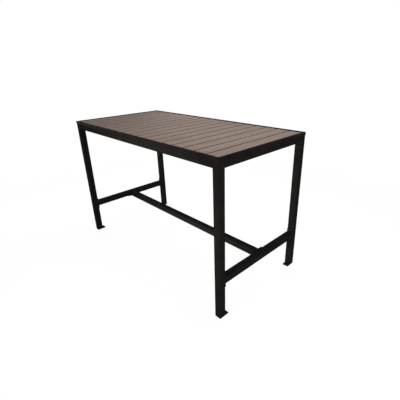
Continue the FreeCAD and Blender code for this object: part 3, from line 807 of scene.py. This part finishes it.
@dataclass
class Welds:
    """Fillet beads in the corners where tubes meet their plates, under the powder coat."""

    coat: bpy.types.Material
    leg: float = 2.8 * MM
    apron_leg: float = 2.2 * MM
    crown_share: float = 0.12
    ripple: float = 0.1 * MM
    pitch: float = 2.4 * MM
    lag_share: float = 0.35
    end_share: float = 0.02
    span: float = 0.6 * MM
    section_steps: int = 6
    tube_radius: float = 1.5 * MM
    sharp_from: float = 50.0

    def bead(self, name: str, path: np.ndarray, away: np.ndarray, axis: np.ndarray,
             leg: float, closed: bool) -> bpy.types.Object:
        """Builds one bead.

        Across the bead, a point goes from the tube to the plate by a share from 0 to 1: the leg
        times one minus the share up along the tube, and times the share out from it. It bulges
        by the crown times the sine of half a turn of the share, and ripples as a cosine of the
        length run, which lags towards the bead's middle, so that each ripple is a crescent. An
        open bead thins to its ends as the square root of one minus the fourth power of the
        place along it, from minus one to one, or of the end share where that is more.

        Args:
            name: the bead's name.
            path: corner line between tube and plate.
            away: directions from the tube across the plate, one for each point of the path.
            axis: direction from the plate along the tube.
            leg: length of the bead's legs.
            closed: whether the path is a loop.

        Returns:
            The bead.
        """
        share = np.linspace(0, 1, self.section_steps + 1)
        step = np.linalg.norm(np.diff(path, axis=0), axis=1)
        run = np.concatenate([[0], np.cumsum(step)])
        whole = run[-1] + (np.linalg.norm(path[0] - path[-1]) if closed else 0)
        pitch = whole / max(1, round(whole / self.pitch)) if closed else self.pitch
        lag = self.lag_share * np.sin(math.pi * share)
        wave = np.cos(2 * math.pi * (run[:, None] / pitch - lag))
        thin = np.ones_like(run)
        if not closed:
            thin = np.sqrt(np.clip(1 - (2 * run / whole - 1) ** 4, self.end_share, 1))
        swell = (self.crown_share * leg + self.ripple * wave) * np.sin(math.pi * share)
        out = (leg * share + swell * math.sqrt(0.5)) * thin[:, None]
        up = (leg * (1 - share) + swell * math.sqrt(0.5)) * thin[:, None]
        face = path[:, None] + out[..., None] * away[:, None] + up[..., None] * axis
        rings = np.concatenate([face, path[:, None]], axis=1)
        faces = skin(*rings.shape[:2], closed=closed, capped=not closed)
        return make_piece(name, rings.reshape(-1, 3), faces, self.coat,
                          self.sharp_from)

    def round_tube(self, name: str, middle: np.ndarray, across: np.ndarray, up: np.ndarray,
                   axis: np.ndarray, half: float) -> bpy.types.Object:
        """Builds a bead round a square tube.

        The path is a square with quarter circles at its corners, and is sampled evenly. A
        quarter of it, a straight side and its corner, is drawn once and turned by whole quarters.

        Args:
            name: the bead's name.
            middle: the tube's middle on the plate.
            across: one direction on the plate.
            up: the other one.
            axis: direction from the plate along the tube.
            half: half the tube's width.

        Returns:
            The bead.
        """
        radius = self.tube_radius
        straight = half - radius
        arc = radius * math.pi / 2
        quarter = 2 * straight + arc
        count = int(round(4 * quarter / self.span))
        run = np.linspace(0, 4 * quarter, count, endpoint=False)
        which, rest = np.divmod(run, quarter)
        slide = np.clip(rest, 0, 2 * straight)
        angle = np.clip(rest - 2 * straight, 0, arc) / radius
        local = np.stack([half - radius + radius * np.cos(angle),
                          slide - straight + radius * np.sin(angle)], -1)
        pointing = np.stack([np.cos(angle), np.sin(angle)], -1)
        turn = which * math.pi / 2
        ahead = np.stack([np.cos(turn), np.sin(turn)], -1)
        beside = np.stack([-np.sin(turn), np.cos(turn)], -1)
        path, away = ((flat[:, :1] * ahead + flat[:, 1:] * beside) @ np.stack([across, up])
                      for flat in (local, pointing))
        return self.bead(name, middle + path, away, axis, self.leg, True)

    def straight(self, name: str, start: np.ndarray, end: np.ndarray, away: np.ndarray,
                 axis: np.ndarray, leg: float) -> bpy.types.Object:
        """Builds a straight bead.

        Args:
            name: the bead's name.
            start: one end of the corner line.
            end: its other end.
            away: direction from the tube across the plate.
            axis: direction from the plate along the tube.
            leg: length of the bead's legs.

        Returns:
            The bead.
        """
        count = int(np.linalg.norm(end - start) / self.span) + 1
        path = start + np.linspace(0, 1, count)[:, None] * (end - start)
        return self.bead(name, path, np.tile(away, (count, 1)), axis, leg, False)

    def corner(self, end: str, side: str, in_x: float, in_y: float) -> list[bpy.types.Object]:
        """Builds the beads of one leg's foot and of the tubes that meet the leg.

        Args:
            end: the front or the back.
            side: the left or the right.
            in_x: sign of the way along X to the table's middle.
            in_y: sign of the way along Y to it.

        Returns:
            The beads.
        """
        x_way, y_way, z_way = np.eye(3)
        place = f"{end}_{side}"
        tube_low, tube_high = corners_of(f"end_stretcher_{side}")
        plate = face_at(f"stretcher_plate_{place}", 1, in_y)
        beads = [self.straight(f"weld_stretcher_{place}_{where}",
                               np.array([tube_low[0] + self.leg, plate, level]),
                               np.array([tube_high[0] - self.leg, plate, level]),
                               up, y_way * in_y, self.leg)
                 for where, level, up in (("above", tube_high[2], z_way),
                                          ("below", tube_low[2], -z_way))]
        leg_low, leg_high = corners_of(f"leg_{place}")
        face = face_at(f"leg_{place}", 1, in_y)
        beads.append(self.straight(f"weld_foot_{place}",
                                   np.array([leg_low[0] + self.leg, face, leg_low[2]]),
                                   np.array([leg_high[0] - self.leg, face, leg_low[2]]),
                                   y_way * in_y, z_way, self.leg))
        rail_low, rail_high = corners_of(f"apron_{end}")
        for run, x, y, away, axis in (
                ("long", face_at(f"apron_plate_{place}_long", 0, in_x),
                 face_at(f"apron_{end}", 1, in_y), y_way * in_y, x_way * in_x),
                ("short", face_at(f"apron_{side}", 0, in_x),
                 face_at(f"apron_plate_{place}_short", 1, in_y), x_way * in_x, y_way * in_y)):
            beads.append(self.straight(f"weld_apron_{place}_{run}",
                                       np.array([x, y, rail_low[2] + self.leg]),
                                       np.array([x, y, rail_high[2] - self.leg]),
                                       away, axis, self.apron_leg))
        return beads

    def build(self) -> list[bpy.types.Object]:
        """Builds every bead where its nodes' boxes say that tube and plate meet.

        Returns:
            The beads.
        """
        sides = (("left", 1.0), ("right", -1.0))
        beads = []
        for end, in_y in (("front", 1.0), ("back", -1.0)):
            for side, in_x in sides:
                beads += self.corner(end, side, in_x, in_y)
        x_way, y_way, z_way = np.eye(3)
        low, high = corners_of("centre_stretcher")
        for side, in_x in sides:
            middle = (low + high) / 2
            middle[0] = face_at("centre_stretcher", 0, -in_x)
            beads.append(self.round_tube(f"weld_centre_{side}", middle, y_way, z_way,
                                         x_way * in_x, (high[2] - low[2]) / 2))
        return beads


@dataclass
class Understructure:
    """Tubes, plates, bars, brackets and fasteners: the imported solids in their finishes."""

    coat: bpy.types.Material
    steel: bpy.types.Material
    coated: tuple[str, ...] = ("leg_", "foot_plate_", "apron_", "end_stretcher_", "centre_",
                               "stretcher_plate_", "support_bar_", "tray_brackets")
    fasteners: tuple[str, ...] = ("frame_bolts", "frame_rivet_nuts", "slat_screws",
                                  "bracket_screws")

    def build(self) -> list[bpy.types.Object]:
        """Dresses every node that stays, and adds no piece.

        Returns:
            An empty list.
        """
        dress(self.coat, *(name for name in sorted(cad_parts)
                           if name.startswith(self.coated)))
        dress(self.steel, *self.fasteners)
        return []


# Studio


@dataclass(frozen=True)
class Lamp:
    """A square softbox that faces a point of the table, with a grid where its beam is narrow."""

    name: str
    place: tuple[float, float, float]
    aim: tuple[float, float, float]
    side: float
    share: float
    spread: float = 180.0

    def build(self) -> None:
        """Makes the lamp.

        Its power is pi squared times the square of its distance, times the share, times one
        minus half the spread over its tangent, which is what the grid keeps back: a share of
        one lights a facing surface on the lamp's axis as a white sky of strength one does.
        """
        half_spread = math.radians(self.spread) / 2
        data = bpy.data.lights.new(self.name, "AREA")
        data.shape = "SQUARE"
        data.size = self.side
        beam = Vector(self.aim) - Vector(self.place)
        data.energy = (math.pi ** 2 * beam.length_squared * self.share
                       * (1 - half_spread / math.tan(half_spread)))
        data.spread = 2 * half_spread
        lamp = bpy.data.objects.new(self.name, data)
        lamp.matrix_world = (Matrix.Translation(self.place)
                             @ beam.to_track_quat("-Z", "Y").to_matrix().to_4x4())
        lamp.visible_camera = False
        bpy.context.scene.collection.objects.link(lamp)


@dataclass
class Studio:
    """Pale floor, white surroundings, softboxes and the camera of the photograph."""

    sky: float = 0.185
    white: str = "ffffff"
    floor_half: float = 14.0
    floor_tone: str = "e8e7e5"
    floor_light: float = 0.27
    shadow_share: float = 0.25
    shadow_near: float = 1.0
    shadow_far: float = 3.2
    focal_px: float = 309.60
    image_px: float = 400.0
    centre_px: tuple[float, float] = (212.63, 196.30)
    sensor: float = 36.0
    eye: tuple[float, float, float] = (1.8356, -1.4355, 1.4340)
    azimuth: float = 0.79746
    elevation: float = 0.40458
    roll: float = -0.02001
    lamps: tuple[Lamp, ...] = (
        Lamp("softbox_above", (0.58, 0.0, 2.116), (0.58, 0.0, 1.016), side=0.6, share=0.57),
        Lamp("softbox_behind", (-0.43, 0.47, 1.516), (-0.43, 0.47, 1.016), side=0.4, share=0.45),
        Lamp("softbox_front", (0.2, -2.8, 0.6), (0.2, -0.4, 0.6), side=0.9, share=1.55,
             spread=43.0),
        Lamp("softbox_right", (2.0, -0.4, 0.8), (0.83, -0.2, 0.8), side=0.7, share=0.33),
        Lamp("softbox_back", (-0.3, 1.9, 0.75), (-0.3, 0.4, 0.75), side=0.9, share=0.45),
        Lamp("softbox_left", (-2.3, -0.1, 0.75), (-0.83, 0.0, 0.75), side=0.9, share=0.35))

    def white_rays(self, tree: bpy.types.NodeTree) -> bpy.types.NodeSocket:
        """Tells the rays that see the white surroundings: camera, glossy and transmission.

        Args:
            tree: the tree that takes the nodes.

        Returns:
            A socket that is one for those rays.
        """
        path = add_node(tree, "ShaderNodeLightPath")
        seen = path.outputs["Is Camera Ray"]
        for kind in ("Is Glossy Ray", "Is Transmission Ray"):
            seen = add_node(tree, "ShaderNodeMath", {0: seen, 1: path.outputs[kind]},
                            operation="MAXIMUM").outputs["Value"]
        return seen

    def surroundings(self) -> None:
        """Makes the world: white where it is seen, and a softer sky that lights the table."""
        world = bpy.data.worlds.new("white_studio")
        world.use_nodes = True
        tree = world.node_tree
        tree.nodes.clear()
        strength = add_node(tree, "ShaderNodeMapRange", {
            "Value": self.white_rays(tree), "To Min": self.sky, "To Max": 1.0})
        light = add_node(tree, "ShaderNodeBackground", {
            "Color": linear(self.white), "Strength": strength.outputs["Result"]})
        add_node(tree, "ShaderNodeOutputWorld", {"Surface": light.outputs["Background"]})
        bpy.context.scene.world = world

    def floor_paint(self) -> bpy.types.Material:
        """Makes the floor's matt paint, which is white where it is seen but for the shadow.

        For rays that see it, a share of the real paint stays near the table, and fades to
        nothing further out. A glow adds what the lit paint lacks to white there: one minus the
        share times about the light that the paint gives back in the open.

        Returns:
            The material.
        """
        material = bpy.data.materials.new("painted_studio_floor")
        material.use_nodes = True
        tree = material.node_tree
        tree.nodes.clear()
        matt = add_node(tree, "ShaderNodeBsdfDiffuse", {"Color": linear(self.floor_tone)})
        place = add_node(tree, "ShaderNodeTexCoord").outputs["Object"]
        reach = add_node(tree, "ShaderNodeVectorMath", {0: place}, operation="LENGTH")
        kept = add_node(tree, "ShaderNodeMapRange", {
            "Value": reach.outputs["Value"], "From Min": self.shadow_near,
            "From Max": self.shadow_far, "To Min": self.shadow_share, "To Max": 0.0},
            interpolation_type="SMOOTHSTEP").outputs["Result"]
        lit = add_node(tree, "ShaderNodeMath", {0: kept, 1: self.floor_light},
                       operation="MULTIPLY").outputs["Value"]
        lacking = add_node(tree, "ShaderNodeMath", {0: 1.0, 1: lit}, operation="SUBTRACT")
        glow = add_node(tree, "ShaderNodeEmission", {
            "Color": linear(self.white), "Strength": lacking.outputs["Value"]})
        dim = add_node(tree, "ShaderNodeMixShader", {0: kept, 2: matt.outputs["BSDF"]})
        shown = add_node(tree, "ShaderNodeAddShader", {0: glow.outputs["Emission"],
                                                       1: dim.outputs["Shader"]})
        paint = add_node(tree, "ShaderNodeMixShader", {
            0: self.white_rays(tree), 1: matt.outputs["BSDF"], 2: shown.outputs["Shader"]})
        add_node(tree, "ShaderNodeOutputMaterial", {"Surface": paint.outputs["Shader"]})
        return material

    def floor(self) -> None:
        """Makes the floor, one square with its top up."""
        half = self.floor_half
        mesh = bpy.data.meshes.new("floor")
        mesh.from_pydata([(-half, -half, 0), (half, -half, 0), (half, half, 0),
                          (-half, half, 0)], [], [(0, 1, 2, 3)])
        mesh.materials.append(self.floor_paint())
        ground = bpy.data.objects.new("floor", mesh)
        bpy.context.scene.collection.objects.link(ground)

    def camera(self) -> None:
        """Sets the camera as the photograph was taken.

        Its back points along the azimuth and elevation, and its right and up directions are
        turned about that by the roll. The lens and the shift put the focal length and the
        middle of the picture, both in pixels, on the sensor.
        """
        azimuth, elevation, roll = self.azimuth, self.elevation, self.roll
        back = Vector((math.sin(azimuth) * math.cos(elevation),
                       -math.cos(azimuth) * math.cos(elevation), math.sin(elevation)))
        level = Vector((math.cos(azimuth), math.sin(azimuth), 0))
        upright = back.cross(level)
        right = math.cos(roll) * level + math.sin(roll) * upright
        up = -math.sin(roll) * level + math.cos(roll) * upright
        turn = Matrix((right, up, back)).transposed().to_4x4()
        data = bpy.data.cameras.new("camera")
        data.sensor_width = self.sensor
        data.lens = self.focal_px / self.image_px * self.sensor
        data.shift_x = (self.image_px / 2 - self.centre_px[0]) / self.image_px
        data.shift_y = (self.centre_px[1] - self.image_px / 2) / self.image_px
        camera = bpy.data.objects.new("camera", data)
        camera.matrix_world = Matrix.Translation(self.eye) @ turn
        bpy.context.scene.collection.objects.link(camera)
        bpy.context.scene.camera = camera

    def build(self) -> None:
        """Makes the whole studio."""
        self.camera()
        self.surroundings()
        self.floor()
        for lamp in self.lamps:
            lamp.build()
            LOG.info("set %s", lamp.name)
        bpy.context.scene.view_settings.view_transform = "Standard"


def main() -> None:
    """Builds the table's parts and the studio in order."""
    logging.basicConfig(level=logging.INFO, format="%(message)s")
    coat = PowderCoat().make()
    board = SyntheticBoard().make()
    steel = DarkSteel().make()
    alloy = MillAluminium().make()
    for part in (Understructure(coat, steel), Tray(coat, alloy), SlatRow(board), Welds(coat)):
        for piece in part.build():
            LOG.info("built %s with %d faces", piece.name, len(piece.data.polygons))
    Studio().build()


if __name__ == "__main__":
    main()
